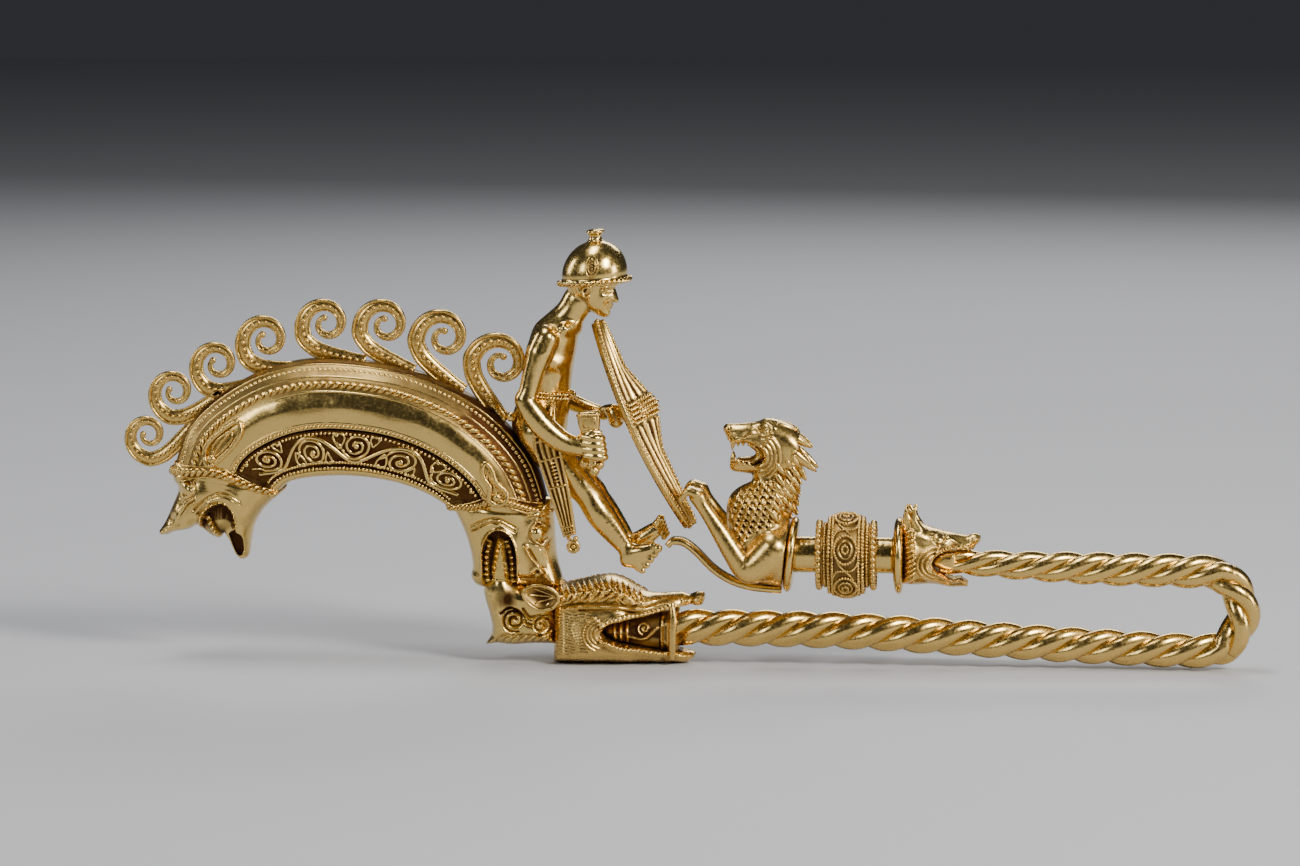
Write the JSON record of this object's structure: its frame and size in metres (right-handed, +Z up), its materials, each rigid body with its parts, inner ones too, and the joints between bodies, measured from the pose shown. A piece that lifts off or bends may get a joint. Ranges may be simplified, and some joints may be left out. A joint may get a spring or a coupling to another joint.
{
  "type": "fibula brooch",
  "caption": "Gold fibula brooch: a hollow arched bow with a spiral crest and hounds' heads, a helmeted warrior facing a leaping hound, and a twisted rod looped back to a wolf's head.",
  "frame": {"origin": "middle of the brooch's bounding box, on the surface that it stands on", "axes": "+X along the brooch from the arched bow to the bend of the twisted rod, +Y through it to the back, +Z up"},
  "size_m": [0.1399, 0.0123, 0.0535],
  "materials": {
    "polished_gold": null,
    "worked_gold": "gold worked with beaded wire, hatching and grooves, darker in the hollows",
    "shadowed_gold": "recessed gold sheet with a red-brown deposit under the filigree wire"
  },
  "bodies": {
    "root": {"bow_arch": "polished_gold", "front_filigree_panel": "shadowed_gold", "back_filigree_panel": "shadowed_gold", "crest_spiral_1": "worked_gold", "crest_spiral_2": "worked_gold", "crest_spiral_3": "worked_gold", "crest_spiral_4": "worked_gold", "crest_spiral_5": "worked_gold", "crest_spiral_6": "worked_gold", "crest_spiral_7": "worked_gold", "crest_spiral_8": "worked_gold", "left_hound_head": "polished_gold", "right_hound_head": "polished_gold", "left_neck_collar": "worked_gold", "right_neck_collar": "worked_gold", "foot": "polished_gold", "boar_head": "worked_gold", "torsade": "polished_gold", "wolf_head": "worked_gold", "wolf_flange": "polished_gold", "spool_tube": "polished_gold", "filigree_bead": "worked_gold", "beaded_ring_left": "worked_gold", "beaded_ring_right": "worked_gold", "hound_flange": "polished_gold", "leaping_hound": "worked_gold", "support_strip": "polished_gold", "warrior": "polished_gold", "helmet": "polished_gold", "shield": "worked_gold", "scabbard": "worked_gold", "sword_hilt": "worked_gold"}
  },
  "joints": []
}
